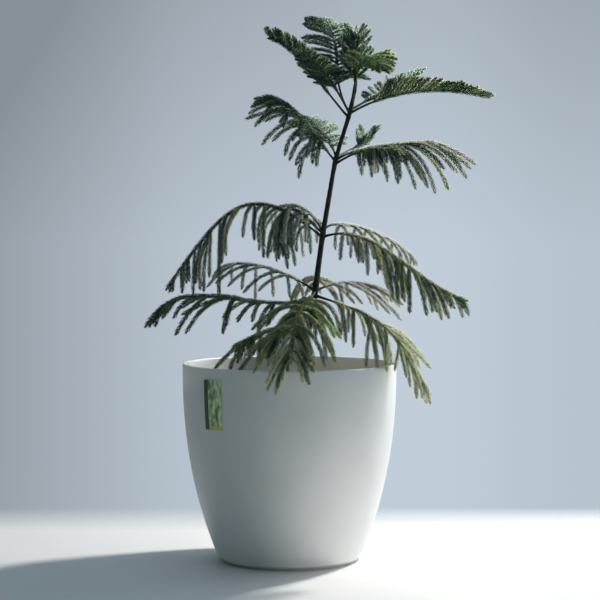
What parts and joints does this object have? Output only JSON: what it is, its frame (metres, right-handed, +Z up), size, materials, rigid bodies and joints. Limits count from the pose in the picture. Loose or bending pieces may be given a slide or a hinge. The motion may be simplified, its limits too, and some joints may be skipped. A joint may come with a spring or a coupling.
{
  "type": "norfolk island pine in a planter",
  "caption": "Young norfolk island pine with a slim leaning trunk and tiers of drooping, feathery boughs, in a round white planter that tapers to its foot.",
  "frame": {"origin": "centre of the planter's flat underside", "axes": "+Z up along the planter's axis; -Y is the front, where the plain label shows at the left; the trunk leans towards +X"},
  "size_m": [0.4694, 0.3401, 0.7602],
  "materials": {
    "pot": "satin light grey-white",
    "soil": "matt, granular",
    "label": "satin green with a dark edge strip",
    "bark": "matt, ringed bark",
    "foliage": "matt green needles"
  },
  "bodies": {
    "root": {"pot": "pot", "soil": "soil", "label": "label", "trunk": "bark", "bough_top_left": "bark", "bough_top_front_left": "bark", "bough_top_back": "bark", "bough_top_back_right": "bark", "bough_top_right": "bark", "bough_top_front": "bark", "bough_upper_left": "bark", "bough_upper_back_left": "bark", "bough_upper_back_right": "bark", "bough_upper_right": "bark", "bough_upper_front_right": "bark", "bough_middle_left": "bark", "bough_middle_back_left": "bark", "bough_middle_back_right": "bark", "bough_middle_right": "bark", "bough_middle_front": "bark", "bough_lower_back_left": "bark", "bough_lower_back": "bark", "bough_lower_back_right": "bark", "bough_lower_left": "bark", "bough_lower_front_left": "bark", "bough_lower_front": "bark", "bough_lower_front_right": "bark", "foliage_top_left": "foliage", "foliage_top_front_left": "foliage", "foliage_top_back": "foliage", "foliage_top_back_right": "foliage", "foliage_top_right": "foliage", "foliage_top_front": "foliage", "foliage_upper_left": "foliage", "foliage_upper_back_left": "foliage", "foliage_upper_back_right": "foliage", "foliage_upper_right": "foliage", "foliage_upper_front_right": "foliage", "foliage_middle_left": "foliage", "foliage_middle_back_left": "foliage", "foliage_middle_back_right": "foliage", "foliage_middle_right": "foliage", "foliage_middle_front": "foliage", "foliage_lower_back_left": "foliage", "foliage_lower_back": "foliage", "foliage_lower_back_right": "foliage", "foliage_lower_left": "foliage", "foliage_lower_front_left": "foliage", "foliage_lower_front": "foliage", "foliage_lower_front_right": "foliage", "foliage_leader": "foliage"}
  },
  "joints": []
}
